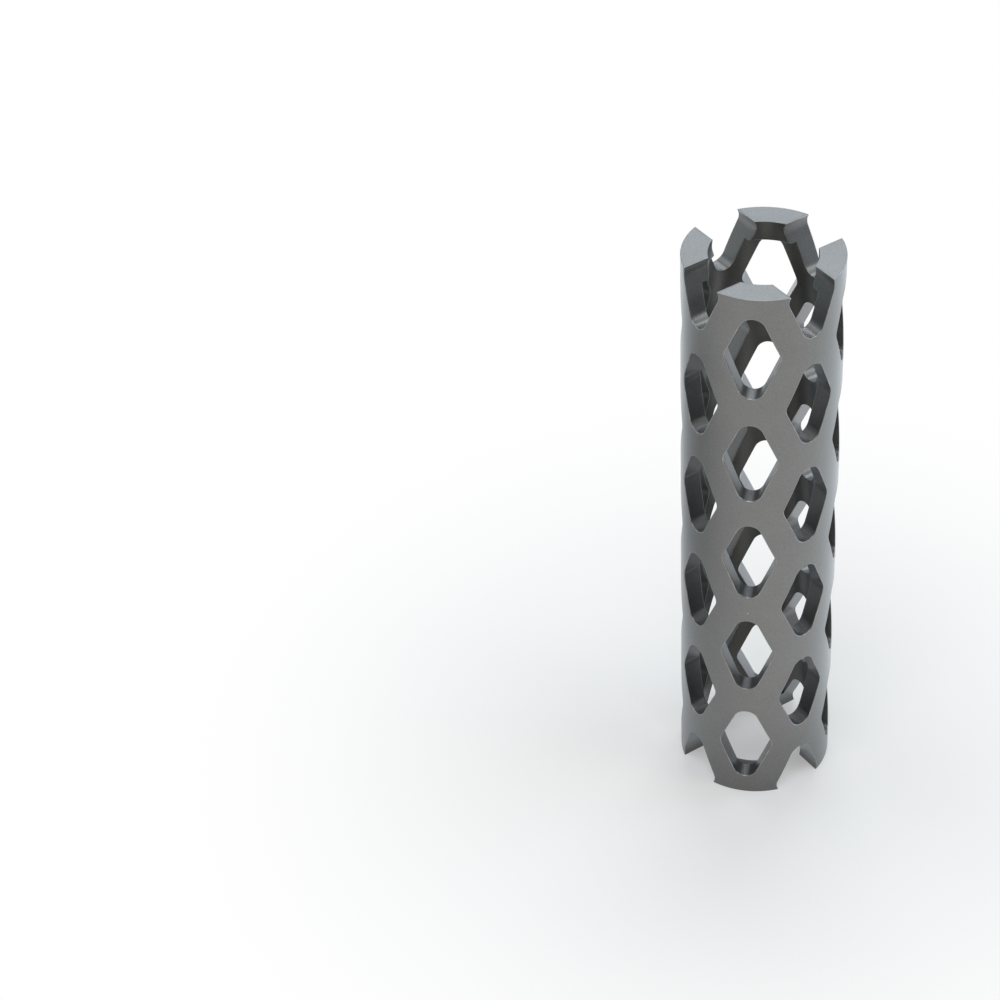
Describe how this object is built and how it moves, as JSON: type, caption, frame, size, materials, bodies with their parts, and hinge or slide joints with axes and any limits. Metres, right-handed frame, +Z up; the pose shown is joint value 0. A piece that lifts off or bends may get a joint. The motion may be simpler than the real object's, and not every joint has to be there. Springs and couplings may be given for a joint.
{
  "type": "spinal interbody mesh cage",
  "caption": "Upright titanium mesh tube with staggered rounded-diamond windows and a toothed crown at each end, packed with bone graft and set between vertebrae.",
  "frame": {"origin": "centre of the lower end plane, on the tube's axis", "axes": "+Z up along the tube's axis, -Y and +X each through the middle of a tooth"},
  "size_m": [0.012, 0.012, 0.0485],
  "materials": {
    "blasted_titanium": "satin, fine blasted"
  },
  "bodies": {
    "root": {"mesh_cage": "blasted_titanium"}
  },
  "joints": []
}
